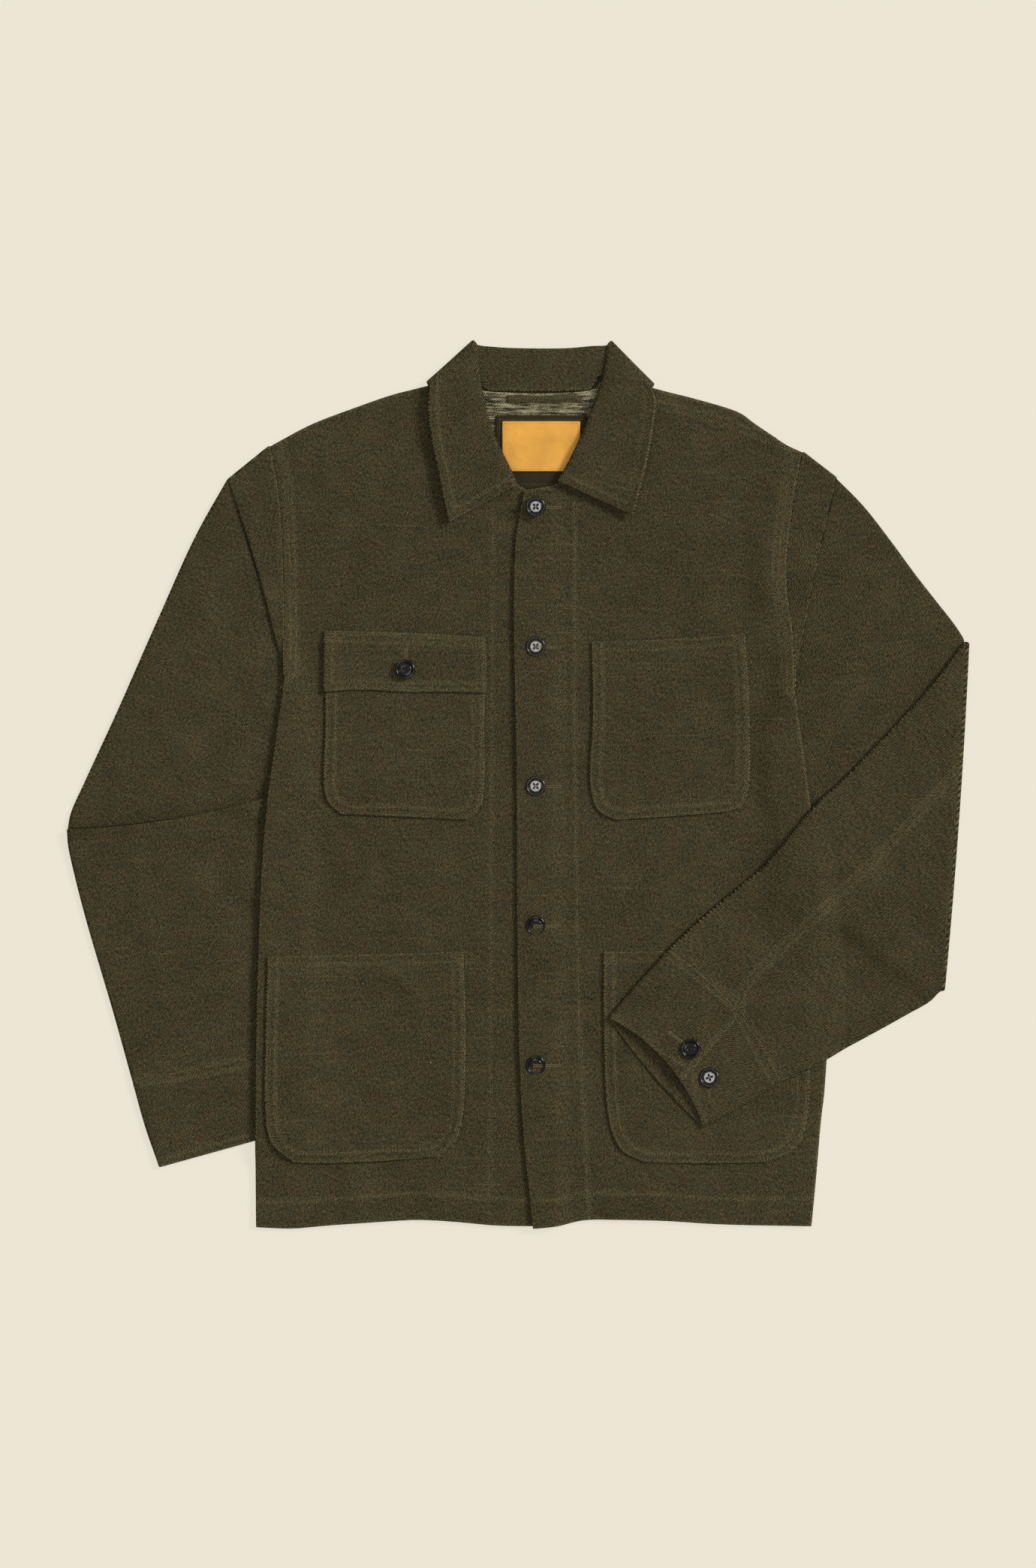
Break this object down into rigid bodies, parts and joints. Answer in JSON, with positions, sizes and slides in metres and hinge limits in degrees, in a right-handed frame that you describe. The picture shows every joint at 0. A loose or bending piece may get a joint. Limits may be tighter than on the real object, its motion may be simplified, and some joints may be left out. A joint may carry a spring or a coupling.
{
  "type": "chore jacket",
  "caption": "Chore jacket of heavy cotton twill, buttoned and laid flat on its back, one sleeve down and the other folded across the front, with patch pockets.",
  "frame": {"origin": "middle of the laid jacket in plan, on the surface it lies on", "axes": "+X towards the wearer's left, +Y up to the collar, +Z away from the surface it lies on"},
  "size_m": [0.8182, 0.8048, 0.0198],
  "materials": {
    "cloth": "slubby olive-brown melange cotton twill, matt",
    "tape": "narrow tape of the same twill",
    "patch": "dark brown plain cotton",
    "label": "golden yellow woven label, plain",
    "button": "glossy black moulded button"
  },
  "bodies": {
    "root": {"back": "cloth", "front_right": "cloth", "front_left": "cloth", "pocket_chest_right": "cloth", "flap_chest_right": "cloth", "pocket_chest_left": "cloth", "pocket_hip_right": "cloth", "pocket_hip_left": "cloth", "collar": "cloth", "sleeve_right": "cloth", "cuff_right": "cloth", "sleeve_left": "cloth", "cuff_left": "cloth", "hanger_loop": "tape", "label_patch": "patch", "label": "label", "button_1": "button", "button_2": "button", "button_3": "button", "button_4": "button", "button_5": "button", "button_flap": "button", "button_cuff_1": "button", "button_cuff_2": "button"}
  },
  "joints": []
}
